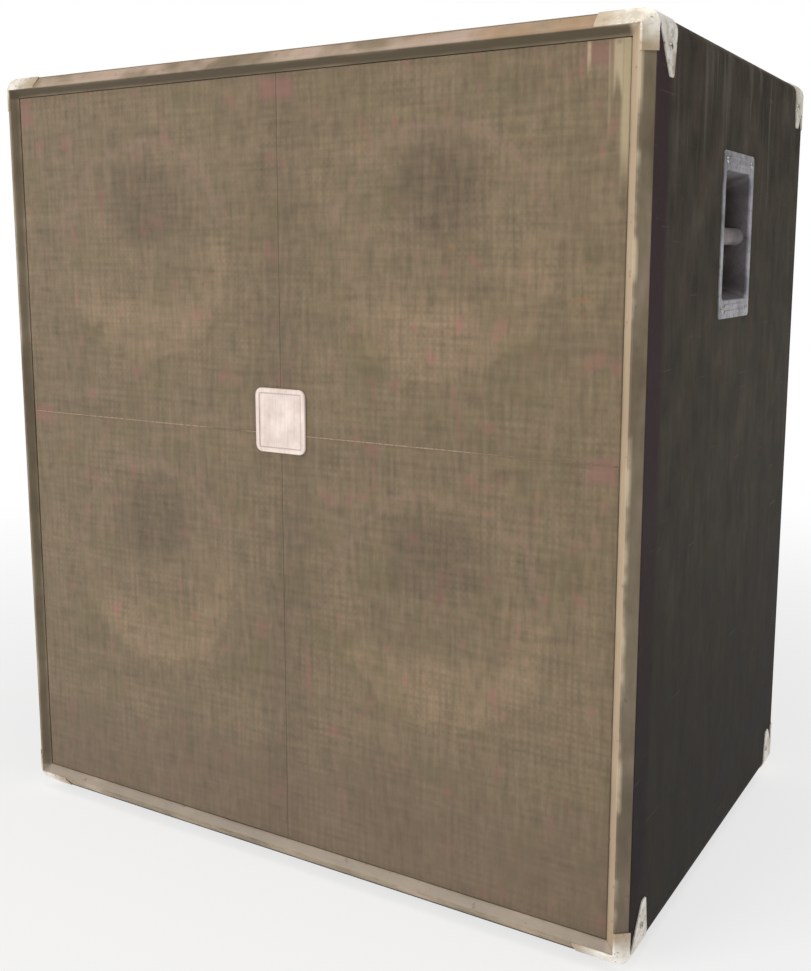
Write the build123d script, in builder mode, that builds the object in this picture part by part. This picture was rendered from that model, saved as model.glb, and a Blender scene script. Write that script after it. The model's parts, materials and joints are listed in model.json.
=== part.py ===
"""A large PA loudspeaker cabinet: four 15-inch woofers in a slot-ported plywood box.

Millimetres. +X is to the right seen from the front, +Y points from the front to the
back and +Z is up. The origin is on the floor, under the middle of the cabinet.
"""

import os
from math import cos, radians, sin, sqrt

from build123d import *

# ---------------------------------------------------------------- driving dimensions
WIDTH = 977  # over the covering
HEIGHT = 1067  # over the covering, without the feet
DEPTH = 675  # front ridge of the trim to the back edge
FOOT_HEIGHT = 12
EDGE_RADIUS = 16  # rounded edges of the box
COVER = 1.2  # vinyl covering
PLY = 18
BRACE = 18
PORT_BOARD = 15

FRONT = -DEPTH / 2
BACK = DEPTH / 2
BASE = FOOT_HEIGHT
TOP = BASE + HEIGHT
MID_Z = BASE + HEIGHT / 2
SIDE = WIDTH / 2

# Room inside the plywood box
SKIN_IN = COVER + PLY
INNER_X = SIDE - SKIN_IN
INNER_LOW = BASE + SKIN_IN
INNER_HIGH = TOP - SKIN_IN

# Front trim: an outer slope, a narrow ridge and an inner slope. Insets are from the covering
SLOPE_START = FRONT + 11
RIDGE_OUT = 13.5
RIDGE_IN = 15.5
RIDGE_CORNER_RADIUS = 6
OPENING_INSET = 26.4
CLOTH_FRONT = FRONT + 7.8
TRIM_BACK = FRONT + 30
MITRE_REACH = 60

# Baffle and back panel
BAFFLE_FRONT = FRONT + 38
BAFFLE_BACK = BAFFLE_FRONT + PLY
BACK_FACE = BACK - 4
BACK_INNER = BACK_FACE - PLY
BACK_GAP = 1
CLEAT = 20
BRACE_LEVEL = 613
BRACE_BORDER = 60

# Slot ports under the woofers
PORT_HIGH = INNER_LOW + 100
PORT_X = 410
PORT_END = BAFFLE_BACK + 260
PORT_SHELF_TOP = PORT_HIGH + PORT_BOARD

# Woofers: the x and z of each axis
WOOFERS = {
    "upper_left": (-231, 831),
    "upper_right": (231, 831),
    "lower_left": (-231, 395),
    "lower_right": (231, 395),
}
FLANGE = 8
WOOFER_FACE = BAFFLE_FRONT - FLANGE
CUTOUT_RADIUS = 176.5
BOLT_CIRCLE_RADIUS = 186
BOLTS_EACH = 8
BOLT_RADIUS = 3
BOLT_HEAD_RADIUS = 5
BOLT_HEAD = 6
BOLT_LENGTH = 34
TEE_NUT_RADIUS = 4
BAFFLE_DEPTH = FLANGE + PLY  # back of the baffle, behind the woofer's face

# Inside a woofer: radii, and depths behind the face of its flange
REAR_RADIUS = 104
SPIDER_SEAT = 86
CONE_LIP = 4
CONE_OUTER = 153
CONE_FLARE = 146
CONE_NECK = 68
PLATE_FRONT = 110
MAGNET_FRONT = PLATE_FRONT + 8
YOKE_FRONT = MAGNET_FRONT + 24
YOKE_BACK = YOKE_FRONT + 12
COIL_INNER = 49
COIL_OUTER = 50
WINDING_OUTER = 51.5
POLE_RADIUS = 47.5
GAP_OUTER = 53.2
LUG_REACH = 114
LUG_DEPTH = 108

# Grille: a frame with a cross in it, covered with four pieces of cloth
CLOTH = 1
CLOTH_INSET = OPENING_INSET + 0.6
FRAME_INSET = CLOTH_INSET + CLOTH
FRAME_FRONT = CLOTH_FRONT + CLOTH
FRAME_BACK = FRAME_FRONT + 18
RAIL = 30
CROSS_RAIL = 44
CROSS_Z = 599.5  # where the four pieces of cloth meet
SEAM = 1
HEM = 9  # cloth turned over the back of the frame

# Badge on the middle of the grille
BADGE_WIDTH = 79
BADGE_HEIGHT = 84
BADGE_Z = 617
BADGE_THICK = 3

# Grille catches: studs on the frame, sockets on the baffle
CATCH_X = SIDE - FRAME_INSET - RAIL / 2
CATCH_HEIGHTS = (90, 470, 730, 1000)
STUD_RADIUS = 4
SOCKET_BORE = 4.4
SOCKET_RADIUS = 8
SOCKET_HEIGHT = 8

# Bar handles, one on each side
HANDLE_Y = -7.5
HANDLE_Z = 853
HANDLE_PLATE = (138, 207)
HANDLE_MOUTH = (116, 162)
HANDLE_FLOOR = (84, 112)
HANDLE_DEPTH = 62
SHEET = 1.5  # pressed steel
GRIP_RADIUS = 11
GRIP_LENGTH = 100
GRIP_SET_IN = 14  # grip's axis behind the side of the cabinet
ROD_RADIUS = 5
ROD_LENGTH = 118

# Steel corners
CORNER_SHEET = 1.4
LEAF = 64
LEAF_REACH = 57
LEAF_SHOULDERS = (10, 20)  # how far down each side of a leaf its taper starts
LEAF_TIP = (0.66, 0.88)  # the two sides of the tip, as shares of the reach
LEAF_ROUND = 4
RIM_ARM_TOP = 66
RIM_ARM_SIDE = 43
EDGE_ZONE = 20  # a leaf's share of the rounded edge beside it
LEAF_SCREW = 34
LEAF_SCREW_IN = 47

# Input plate on the back
INPUT_Z = 300
INPUT_PLATE = (160, 110)
INPUT_MOUTH = (130, 80)
INPUT_FLOOR = (104, 56)
INPUT_DEPTH = 35
JACK_X = 24
JACK_BORE = 3.3
JACK_BORE_LENGTH = 30
BUSHING_RADIUS = 4.5
BUSHING_LENGTH = 6
JACK_BODY = 20
JACK_BODY_LENGTH = 28
JACK_FACE = BACK_FACE - INPUT_DEPTH + SHEET  # front of the floor that the jacks sit in

# Screws
SCREW_RADIUS = 1.75
SCREW_HEAD_RADIUS = 4
SCREW_HEAD = 1.8
SHORT_SCREW = 15
FOOT_SCREW = 20
PANEL_SCREW = 34

FOOT_X = 400
FOOT_Y = 240
FOOT_RADIUS = 19
FOOT_RECESS = 6

LEAD_RADIUS = 3
LEAD_BEND = 12
LEAD_X = 109
PAD = 30
PAD_X = (30, 430)
PAD_HEIGHTS = ((400, 590), (640, 1020))


# ---------------------------------------------------------------- helpers
def at_depth(y):
    """The upright plane across the cabinet at depth y; extrude a negative amount to go back."""
    return Plane.XZ.offset(-y)


def save(part, name):
    part.label = name
    export_step(part, f"parts/{name}.step")


def group(solids):
    """Several loose solids as one shape."""
    return Compound(children=list(solids))


def slab(low, high):
    """A box from its lowest to its highest corner."""
    with BuildPart(mode=Mode.PRIVATE) as block:
        with Locations(tuple((a + b) / 2 for a, b in zip(low, high))):
            Box(*[b - a for a, b in zip(low, high)])
    return block.part


def cut(part, *tools):
    """part with the tools taken away."""
    with BuildPart(mode=Mode.PRIVATE) as result:
        add(part)
        add(tools, mode=Mode.SUBTRACT)
    return result.part


def outline(inset, radius):
    """The cabinet's front outline, drawn in from the covering by inset."""
    with Locations((0, MID_Z)):
        if radius:
            RectangleRounded(WIDTH - 2 * inset, HEIGHT - 2 * inset, radius)
        else:
            Rectangle(WIDTH - 2 * inset, HEIGHT - 2 * inset)


def prism(inset, front, back):
    """A square-edged block inside the cabinet's outline."""
    with BuildPart(mode=Mode.PRIVATE) as block:
        with BuildSketch(at_depth(front)):
            outline(inset, 0)
        extrude(amount=front - back)
    return block.part


def rounded_block(inset, front):
    """The box's outer shape drawn in by inset, with its long edges and back edges rounded."""
    with BuildPart(mode=Mode.PRIVATE) as block:
        add(prism(inset, front, BACK - inset))
        long_edges = block.edges().filter_by(Axis.Y)
        back_edges = block.faces().sort_by(Axis.Y)[-1].edges()
        fillet(long_edges + back_edges, EDGE_RADIUS - inset)
    return block.part


def slope(inset_a, radius_a, y_a, inset_b, radius_b, y_b):
    """A solid whose outline changes evenly from one depth to another."""
    with BuildPart(mode=Mode.PRIVATE) as frustum:
        with BuildSketch(at_depth(y_a)):
            outline(inset_a, radius_a)
        with BuildSketch(at_depth(y_b)):
            outline(inset_b, radius_b)
        loft(ruled=True)
    return frustum.part


def turned(points):
    """A solid turned about the Y axis, from (radius, depth) points."""
    with BuildPart(mode=Mode.PRIVATE) as solid:
        with BuildSketch(Plane.XY):
            with BuildLine():
                Polyline(*points, close=True)
            make_face()
        revolve(axis=Axis.Y)
    return solid.part


def washer(inner, outer, front, back):
    return turned([(inner, front), (outer, front), (outer, back), (inner, back)])


def around(radius, count):
    """Evenly spaced (x, z) points on a circle, starting half a step from +X."""
    angles = [radians(360 * (n + 0.5) / count) for n in range(count)]
    return [(radius * cos(angle), radius * sin(angle)) for angle in angles]


def four_ways(part):
    """A top right piece and its mirror images in the other three corners."""
    right = [part, mirror(part, about=Plane.XY.offset(MID_Z))]
    return right + [mirror(piece, about=Plane.YZ) for piece in right]


# ---------------------------------------------------------------- screws
def corner_seats():
    seats = []
    for side in (-1, 1):
        for y in (FRONT + LEAF_SCREW_IN, BACK - LEAF_SCREW_IN):
            for z in (BASE + LEAF_SCREW, TOP - LEAF_SCREW):
                seats.append(((side * (SIDE + CORNER_SHEET), y, z), (-side, 0, 0), SHORT_SCREW))
            for z, way in ((BASE - CORNER_SHEET, 1), (TOP + CORNER_SHEET, -1)):
                seats.append(((side * (SIDE - LEAF_SCREW), y, z), (0, 0, way), SHORT_SCREW))
    return seats


def handle_seats():
    return [
        ((side * (SIDE + SHEET), HANDLE_Y + across, HANDLE_Z + up), (-side, 0, 0), SHORT_SCREW)
        for side in (-1, 1)
        for across in (-55, 55)
        for up in (-92, 92)
    ]


def foot_places():
    return [(x, y) for x in (-FOOT_X, FOOT_X) for y in (-FOOT_Y, FOOT_Y)]


def foot_seats():
    return [((x, y, FOOT_RECESS), (0, 0, 1), FOOT_SCREW) for x, y in foot_places()]


def input_seats():
    return [
        ((x, BACK_FACE + SHEET, INPUT_Z + up), (0, -1, 0), SHORT_SCREW)
        for x in (-74, 74)
        for up in (-49, 49)
    ]


def back_seats():
    edge = INNER_X - CLEAT / 2
    low, high = INNER_LOW + CLEAT / 2, INNER_HIGH - CLEAT / 2
    rows = [low + (high - low) * n / 5 for n in range(6)]
    places = [(side * edge, z) for side in (-1, 1) for z in rows]
    places += [(edge * share, z) for share in (-0.7, -0.3, 0.3, 0.7) for z in (low, high)]
    return [((x, BACK_FACE, z), (0, -1, 0), PANEL_SCREW) for x, z in places]


def bores(seats):
    """The holes that these screws need."""
    with BuildPart(mode=Mode.PRIVATE) as holes:
        for point, way, length in seats:
            with BuildSketch(Plane(point, z_dir=way)):
                Circle(SCREW_RADIUS)
            extrude(amount=length)
    return holes.part


def make_wood_screws():
    with BuildPart() as head:
        Cylinder(SCREW_HEAD_RADIUS, SCREW_HEAD, align=(Align.CENTER, Align.CENTER, Align.MAX))
        fillet(head.edges().sort_by(Axis.Z)[0], SCREW_HEAD * 0.8)
        with BuildSketch(Plane.XY.offset(-SCREW_HEAD)):
            Rectangle(4.4, 0.9)
            Rectangle(0.9, 4.4)
        extrude(amount=SCREW_HEAD / 2, mode=Mode.SUBTRACT)
    screws = []
    for point, way, length in corner_seats() + handle_seats() + foot_seats() + input_seats() + back_seats():
        with BuildPart() as screw:
            add(head.part)
            with BuildSketch(Plane.XY):
                Circle(SCREW_RADIUS)
            extrude(amount=length)
        screws.append(screw.part.moved(Location(Plane(point, z_dir=way))))
    save(group(screws), "wood_screws")


# ---------------------------------------------------------------- the plywood box
def handle_cutout():
    """The holes through both sides of the box for the handles' dishes."""
    clearance = 6
    with BuildPart(mode=Mode.PRIVATE) as cutout:
        with BuildSketch(Plane.YZ.offset(-SIDE - 5)):
            with Locations((HANDLE_Y, HANDLE_Z)):
                RectangleRounded(HANDLE_MOUTH[0] + clearance, HANDLE_MOUTH[1] + clearance, 10)
        extrude(amount=2 * SIDE + 10)
    return cutout.part


def make_panels():
    """The four panels of the box, cut out of one rounded tube."""
    core = slab((-INNER_X, TRIM_BACK - 1, INNER_LOW), (INNER_X, BACK + 1, INNER_HIGH))
    tube = cut(rounded_block(COVER, TRIM_BACK), core)
    level_bores = bores(corner_seats() + foot_seats())

    with BuildPart() as top_panel:
        add(tube)
        split(bisect_by=Plane.XY.offset(INNER_HIGH), keep=Keep.TOP)
        add(level_bores, mode=Mode.SUBTRACT)
    save(top_panel.part, "top_panel")

    with BuildPart() as bottom_panel:
        add(tube)
        split(bisect_by=Plane.XY.offset(INNER_LOW), keep=Keep.BOTTOM)
        add(level_bores, mode=Mode.SUBTRACT)
    save(bottom_panel.part, "bottom_panel")

    side_bores = bores(corner_seats() + handle_seats())
    for side, name in ((-1, "left_side_panel"), (1, "right_side_panel")):
        near, far = sorted((0, side * SIDE))
        with BuildPart() as side_panel:
            add(tube)
            add(slab((near, FRONT, INNER_LOW), (far, BACK, INNER_HIGH)), mode=Mode.INTERSECT)
            add(handle_cutout(), mode=Mode.SUBTRACT)
            add(side_bores, mode=Mode.SUBTRACT)
        save(side_panel.part, name)


def make_covering():
    """The vinyl skin, wrapped round the box and over its back edges."""
    core = slab((-INNER_X, SLOPE_START - 1, INNER_LOW), (INNER_X, BACK + 1, INNER_HIGH))
    with BuildPart() as covering:
        add(rounded_block(0, SLOPE_START))
        add(rounded_block(COVER, SLOPE_START), mode=Mode.SUBTRACT)
        add(core, mode=Mode.SUBTRACT)
        add(handle_cutout(), mode=Mode.SUBTRACT)
        add(bores(corner_seats() + handle_seats() + foot_seats()), mode=Mode.SUBTRACT)
    save(covering.part, "vinyl_covering")


def trim_ring():
    """The front moulding all the way round."""
    radius = EDGE_RADIUS - COVER
    with BuildPart(mode=Mode.PRIVATE) as ring:
        add(slope(COVER, radius, SLOPE_START, RIDGE_OUT, RIDGE_CORNER_RADIUS, FRONT))
        with BuildSketch(at_depth(SLOPE_START)):
            outline(COVER, radius)
        extrude(amount=SLOPE_START - TRIM_BACK)
        add(prism(SKIN_IN, TRIM_BACK, BAFFLE_FRONT))
        add(prism(OPENING_INSET, CLOTH_FRONT, BAFFLE_FRONT), mode=Mode.SUBTRACT)
        add(slope(RIDGE_IN, 0, FRONT, OPENING_INSET, 0, CLOTH_FRONT), mode=Mode.SUBTRACT)
    return ring.part


def make_trim():
    """The front moulding, cut into four mitred pieces."""
    ring = trim_ring()
    over = 5
    x, z = SIDE + over, HEIGHT / 2 + over
    inner_x, inner_z = x - MITRE_REACH, z - MITRE_REACH
    regions = {
        "trim_top": [(-x, z), (x, z), (inner_x, inner_z), (-inner_x, inner_z)],
        "trim_right": [(x, z), (x, -z), (inner_x, -inner_z), (inner_x, inner_z)],
    }
    opposite = {"trim_top": "trim_bottom", "trim_right": "trim_left"}
    middle = {"trim_top": Plane.XY.offset(MID_Z), "trim_right": Plane.YZ}
    for name, corners in regions.items():
        with BuildPart() as piece:
            with BuildSketch(at_depth(FRONT - over)):
                with Locations((0, MID_Z)):
                    Polygon(*corners, align=None)
            extrude(amount=FRONT - over - BAFFLE_FRONT - over)
            add(ring, mode=Mode.INTERSECT)
        save(piece.part, name)
        save(mirror(piece.part, about=middle[name]), opposite[name])


def make_baffle():
    with BuildPart() as baffle:
        add(slab((-INNER_X, BAFFLE_FRONT, INNER_LOW), (INNER_X, BAFFLE_BACK, INNER_HIGH)))
        with BuildSketch(at_depth(BAFFLE_FRONT)):
            for x, z in WOOFERS.values():
                with Locations((x, z)):
                    Circle(CUTOUT_RADIUS)
                with Locations(*[(x + dx, z + dz) for dx, dz in around(BOLT_CIRCLE_RADIUS, BOLTS_EACH)]):
                    Circle(TEE_NUT_RADIUS)
        extrude(amount=-PLY, mode=Mode.SUBTRACT)
        for low, high in ((-PORT_X, -PORT_BOARD / 2), (PORT_BOARD / 2, PORT_X)):
            slot = slab((low, BAFFLE_FRONT, INNER_LOW), (high, BAFFLE_BACK, PORT_HIGH))
            add(slot, mode=Mode.SUBTRACT)
    save(baffle.part, "baffle_board")


def make_port():
    """The shelf over the slot ports and the three upright walls under it."""
    end = PORT_X + PORT_BOARD
    boards = [slab((-end, BAFFLE_BACK, PORT_HIGH), (end, PORT_END, PORT_SHELF_TOP))]
    for x in (-PORT_X - PORT_BOARD, -PORT_BOARD / 2, PORT_X):
        boards.append(slab((x, BAFFLE_BACK, INNER_LOW), (x + PORT_BOARD, PORT_END, PORT_HIGH)))
    save(group(boards), "port_boards")


def make_braces():
    """An upright brace in the middle and a level one on each side of it, all with windows."""
    half = BRACE / 2
    middle = (BAFFLE_BACK + BACK_INNER) / 2
    window = BACK_INNER - BAFFLE_BACK - 2 * BRACE_BORDER
    with BuildPart() as centre_brace:
        add(slab((-half, BAFFLE_BACK, PORT_SHELF_TOP), (half, BACK_INNER, INNER_HIGH)))
        with BuildSketch(Plane.YZ.offset(-half)):
            for low, high in ((PORT_SHELF_TOP, BRACE_LEVEL), (BRACE_LEVEL, INNER_HIGH)):
                with Locations((middle, (low + high) / 2)):
                    RectangleRounded(window, high - low - 2 * BRACE_BORDER, BRACE_BORDER / 2)
            with Locations((BACK_INNER, INPUT_Z)):
                Rectangle(160, 130)
        extrude(amount=BRACE, mode=Mode.SUBTRACT)
    save(centre_brace.part, "centre_brace")

    wings = []
    for inner, outer in ((half, INNER_X), (-INNER_X, -half)):
        with BuildPart() as wing:
            low, high = BRACE_LEVEL - half, BRACE_LEVEL + half
            add(slab((inner, BAFFLE_BACK, low), (outer, BACK_INNER, high)))
            with BuildSketch(Plane.XY.offset(low)):
                with Locations(((inner + outer) / 2, middle)):
                    RectangleRounded(outer - inner - 2 * BRACE_BORDER, window, BRACE_BORDER / 2)
            extrude(amount=BRACE, mode=Mode.SUBTRACT)
        wings.append(wing.part)
    save(group(wings), "side_braces")


def make_cleats():
    """Square battens that the baffle and the back panel are fixed to."""
    half = BRACE / 2
    inner = INNER_X - CLEAT
    holes = bores(back_seats())
    cleats = []
    for y, lowest in ((BAFFLE_BACK, PORT_SHELF_TOP), (BACK_INNER - CLEAT, INNER_LOW)):
        for x in (-INNER_X, inner):
            for low, high in ((lowest, BRACE_LEVEL - half), (BRACE_LEVEL + half, INNER_HIGH)):
                cleats.append(slab((x, y, low), (x + CLEAT, y + CLEAT, high)))
        for x in (-inner, half):
            cleats.append(slab((x, y, INNER_HIGH - CLEAT), (x + inner - half, y + CLEAT, INNER_HIGH)))
    y = BACK_INNER - CLEAT
    cleats.append(slab((-inner, y, INNER_LOW), (inner, y + CLEAT, INNER_LOW + CLEAT)))
    save(group([cut(cleat, holes) for cleat in cleats]), "panel_cleats")


def make_back_panel():
    x = INNER_X - BACK_GAP
    low, high = INNER_LOW + BACK_GAP, INNER_HIGH - BACK_GAP
    with BuildPart() as back_panel:
        add(slab((-x, BACK_INNER, low), (x, BACK_FACE, high)))
        with BuildSketch(at_depth(BACK_INNER)):
            with Locations((0, INPUT_Z)):
                RectangleRounded(INPUT_MOUTH[0] + 6, INPUT_MOUTH[1] + 6, 10)
        extrude(amount=-PLY, mode=Mode.SUBTRACT)
        add(bores(back_seats() + input_seats()), mode=Mode.SUBTRACT)
    save(back_panel.part, "back_panel")


def make_damping():
    pads = []
    for low_x, high_x in (PAD_X, (-PAD_X[1], -PAD_X[0])):
        for low, high in PAD_HEIGHTS:
            pads.append(slab((low_x, BACK_INNER - PAD, low), (high_x, BACK_INNER, high)))
    save(group(pads), "damping_pads")


# ---------------------------------------------------------------- steel fittings
def pressed_dish(face, plate, mouth, floor, depth):
    """A flanged dish pressed from sheet. face is the plane it is laid on, facing outwards."""
    lip = face.offset(SHEET)
    back = face.offset(-depth)
    wall = 2 * SHEET
    with BuildPart(mode=Mode.PRIVATE) as dish:
        with BuildSketch(face):
            RectangleRounded(*plate, 6)
        extrude(amount=SHEET)
        with BuildSketch(face):
            RectangleRounded(mouth[0] + wall, mouth[1] + wall, 10)
        with BuildSketch(back):
            RectangleRounded(floor[0] + wall, floor[1] + wall, 10)
        loft(ruled=True)
        with BuildSketch(lip):
            RectangleRounded(*mouth, 8.5)
        with BuildSketch(back.offset(SHEET)):
            RectangleRounded(*floor, 8.5)
        loft(ruled=True, mode=Mode.SUBTRACT)
    return dish.part


def make_handles():
    face = Plane((SIDE, HANDLE_Y, HANDLE_Z), x_dir=(0, 1, 0), z_dir=(1, 0, 0))
    axis = Plane((SIDE - GRIP_SET_IN, HANDLE_Y, HANDLE_Z), z_dir=(0, 1, 0))

    with BuildPart() as dish:
        add(pressed_dish(face, HANDLE_PLATE, HANDLE_MOUTH, HANDLE_FLOOR, HANDLE_DEPTH))
        with BuildSketch(face.offset(SHEET)):
            with Locations((0, -96), (0, -88), (0, 88), (0, 96)):
                RectangleRounded(88, 4, 1.9)
        extrude(amount=1)
        with BuildSketch(axis):
            Circle(ROD_RADIUS)
        extrude(amount=HANDLE_MOUTH[0] / 2 + 5, both=True, mode=Mode.SUBTRACT)
        add(bores(handle_seats()), mode=Mode.SUBTRACT)
    save(dish.part, "handle_dish_right")
    save(mirror(dish.part, about=Plane.YZ), "handle_dish_left")

    with BuildPart() as grip:
        with BuildSketch(axis):
            Circle(GRIP_RADIUS)
        extrude(amount=GRIP_LENGTH / 2, both=True)
        fillet(grip.edges().filter_by(GeomType.CIRCLE), 3)
        with BuildSketch(axis):
            Circle(ROD_RADIUS)
        extrude(amount=GRIP_LENGTH / 2, both=True, mode=Mode.SUBTRACT)
    save(grip.part, "handle_grip_right")
    save(mirror(grip.part, about=Plane.YZ), "handle_grip_left")

    with BuildPart() as rod:
        with BuildSketch(axis):
            Circle(ROD_RADIUS)
        extrude(amount=ROD_LENGTH / 2, both=True)
    save(group([rod.part, mirror(rod.part, about=Plane.YZ)]), "handle_rods")


def grown_body(grow):
    """The box and its trim as one block, grown outwards."""
    with BuildPart(mode=Mode.PRIVATE) as body:
        add(rounded_block(-grow, SLOPE_START))
        add(
            slope(
                -grow,
                EDGE_RADIUS + grow,
                SLOPE_START,
                RIDGE_OUT - grow / 2,
                RIDGE_CORNER_RADIUS + grow / 2,
                FRONT - grow,
            )
        )
    return body.part


def leaf(origin, along, across, inward):
    """The room one leaf of a corner takes up, beside the corner of the box at origin."""
    near, far = [share * LEAF_REACH for share in LEAF_TIP]
    high, low = LEAF_SHOULDERS
    points = [(0, -5), (LEAF_REACH, -5), (LEAF_REACH, low), (far, LEAF), (near, LEAF), (0, high)]
    normal = Vector(*along).cross(Vector(*across))
    with BuildPart(mode=Mode.PRIVATE) as room:
        with BuildSketch(Plane(origin, x_dir=along, z_dir=normal)) as shape:
            Polygon(*points, align=None)
            fillet(shape.vertices().sort_by(Axis.Y)[-2:], LEAF_ROUND)
        extrude(amount=EDGE_ZONE * normal.dot(Vector(*inward)))
    return room.part


def steel_corner(rim, rim_y, way, opening):
    """The top right corner, pressed from sheet. way is +1 at the front and -1 at the back."""
    shell = cut(grown_body(CORNER_SHEET), grown_body(0), opening)
    left, down, along = (-1, 0, 0), (0, 0, -1), (0, way, 0)
    side_leaf = leaf((SIDE + 5, rim_y, TOP), along, down, left)
    top_leaf = leaf((SIDE, rim_y, TOP + 5), along, left, down)
    with BuildPart(mode=Mode.PRIVATE) as corner:
        add(side_leaf)
        add(top_leaf)
        add(rim)
        add(shell, mode=Mode.INTERSECT)
        add(bores(corner_seats()), mode=Mode.SUBTRACT)
    return corner.part


def make_corners():
    over = 5
    front_y = (FRONT - over, SLOPE_START)
    front_rim = [
        slab((SIDE - RIM_ARM_TOP, front_y[0], TOP - EDGE_ZONE), (SIDE + over, front_y[1], TOP + over)),
        slab((SIDE - EDGE_ZONE, front_y[0], TOP - RIM_ARM_SIDE), (SIDE + over, front_y[1], TOP + over)),
    ]
    opening = prism(RIDGE_IN, FRONT - over, SLOPE_START)
    front = steel_corner(front_rim, SLOPE_START, 1, opening)
    save(group(four_ways(front)), "front_corners")

    back_rim = [
        slab((SIDE - LEAF, BACK - EDGE_ZONE, TOP - EDGE_ZONE), (SIDE + over, BACK + over, TOP + over)),
        slab((SIDE - EDGE_ZONE, BACK - EDGE_ZONE, TOP - LEAF), (SIDE + over, BACK + over, TOP + over)),
    ]
    opening = prism(SKIN_IN, BACK - over, BACK + over)
    back = steel_corner(back_rim, BACK, -1, opening)
    save(group(four_ways(back)), "rear_corners")


def make_feet():
    with BuildPart() as foot:
        with BuildSketch(Plane.XY):
            Circle(FOOT_RADIUS - 2)
        with BuildSketch(Plane.XY.offset(FOOT_HEIGHT)):
            Circle(FOOT_RADIUS)
        loft()
        with BuildSketch(Plane.XY):
            Circle(SCREW_HEAD_RADIUS + 2)
        extrude(amount=FOOT_RECESS, mode=Mode.SUBTRACT)
        with BuildSketch(Plane.XY.offset(FOOT_RECESS)):
            Circle(SCREW_RADIUS)
        extrude(amount=FOOT_HEIGHT, mode=Mode.SUBTRACT)
    save(group([foot.part.moved(Location((x, y, 0))) for x, y in foot_places()]), "rubber_feet")


# ---------------------------------------------------------------- input plate and leads
def make_input():
    face = Plane((0, BACK_FACE, INPUT_Z), x_dir=(-1, 0, 0), z_dir=(0, 1, 0))
    with BuildPart() as plate:
        add(pressed_dish(face, INPUT_PLATE, INPUT_MOUTH, INPUT_FLOOR, INPUT_DEPTH))
        with BuildSketch(face.offset(-INPUT_DEPTH)):
            with Locations((-JACK_X, 0), (JACK_X, 0)):
                Circle(BUSHING_RADIUS)
        extrude(amount=SHEET, mode=Mode.SUBTRACT)
        add(bores(input_seats()), mode=Mode.SUBTRACT)
    save(plate.part, "input_plate")

    jacks = []
    for x in (-JACK_X, JACK_X):
        axis = Plane((x, JACK_FACE, INPUT_Z), x_dir=(-1, 0, 0), z_dir=(0, 1, 0))
        with BuildPart() as jack:
            with BuildSketch(axis.offset(-SHEET)):
                Rectangle(JACK_BODY, JACK_BODY)
            extrude(amount=-JACK_BODY_LENGTH)
            fillet(jack.edges().filter_by(Axis.Y), 2)
            with BuildSketch(axis.offset(-SHEET)):
                Circle(BUSHING_RADIUS)
            extrude(amount=SHEET + BUSHING_LENGTH)
            with BuildSketch(axis):
                RegularPolygon(BUSHING_RADIUS + 3, 6)
            extrude(amount=3)
            with BuildSketch(axis.offset(BUSHING_LENGTH)):
                Circle(JACK_BORE)
            extrude(amount=-JACK_BORE_LENGTH, mode=Mode.SUBTRACT)
        jacks.append(jack.part)
    save(group(jacks), "input_jacks")


def make_leads():
    """A twin lead from each jack to each of the two woofers on its side."""
    jack_back = JACK_FACE - SHEET - JACK_BODY_LENGTH
    lug_y = WOOFER_FACE + LUG_DEPTH
    leads = []
    for name, turn_y, jack_x, up in (("upper_right", 160, 28, 6), ("lower_right", 130, 20, -6)):
        high = WOOFERS[name][1]
        low = INPUT_Z + up
        route = [
            (LEAD_X, lug_y, high),
            (LEAD_X, turn_y, high),
            (LEAD_X, turn_y, low),
            (jack_x, turn_y, low),
            (jack_x, jack_back, low),
        ]
        with BuildPart() as lead:
            with BuildLine() as path:
                FilletPolyline(*route, radius=LEAD_BEND)
            with BuildSketch(Plane(path.line @ 0, z_dir=path.line % 0)):
                Circle(LEAD_RADIUS)
            sweep()
        leads += [lead.part, mirror(lead.part, about=Plane.YZ)]
    save(group(leads), "wiring_leads")


# ---------------------------------------------------------------- woofers
def spots():
    return [Location((x, WOOFER_FACE, z)) for x, z in WOOFERS.values()]


def save_four(part, name):
    """The same piece in all four woofers, as one node of separate solids."""
    save(group([part.moved(spot) for spot in spots()]), name)


def bolt_locations():
    return [Location((x, 0, z)) for x, z in around(BOLT_CIRCLE_RADIUS, BOLTS_EACH)]


def make_baskets():
    windows = 6
    with BuildPart() as basket:
        add(
            turned(
                [
                    (169.8, 3),
                    (183, 3),
                    (183, 0),
                    (194.5, 0),
                    (194.5, FLANGE),
                    (175, FLANGE),
                    (REAR_RADIUS, 92),
                    (REAR_RADIUS, PLATE_FRONT),
                    (60, PLATE_FRONT),
                    (60, REAR_RADIUS),
                    (90, REAR_RADIUS),
                    (90, SPIDER_SEAT),
                    (103.8, SPIDER_SEAT),
                    (169.8, FLANGE),
                ]
            )
        )
        with BuildSketch(Plane.XZ.offset(-12)):
            with PolarLocations(136, windows, 360 / windows / 2):
                RectangleRounded(48, 84, 14)
        extrude(amount=-78, mode=Mode.SUBTRACT)
        with BuildSketch(Plane.XZ):
            with Locations(*around(BOLT_CIRCLE_RADIUS, BOLTS_EACH)):
                Circle(BOLT_RADIUS)
        extrude(amount=-FLANGE, mode=Mode.SUBTRACT)
    save_four(basket.part, "woofer_baskets")


def make_magnets():
    save_four(washer(GAP_OUTER, 85, PLATE_FRONT, MAGNET_FRONT), "top_plates")
    save_four(washer(62, 95, MAGNET_FRONT, YOKE_FRONT), "magnet_rings")
    vent = 12
    pole_front = PLATE_FRONT - 2
    yoke = turned(
        [
            (vent, pole_front),
            (POLE_RADIUS, pole_front),
            (POLE_RADIUS, YOKE_FRONT),
            (85, YOKE_FRONT),
            (85, YOKE_BACK),
            (vent, YOKE_BACK),
        ]
    )
    save_four(yoke, "pole_yokes")


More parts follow.
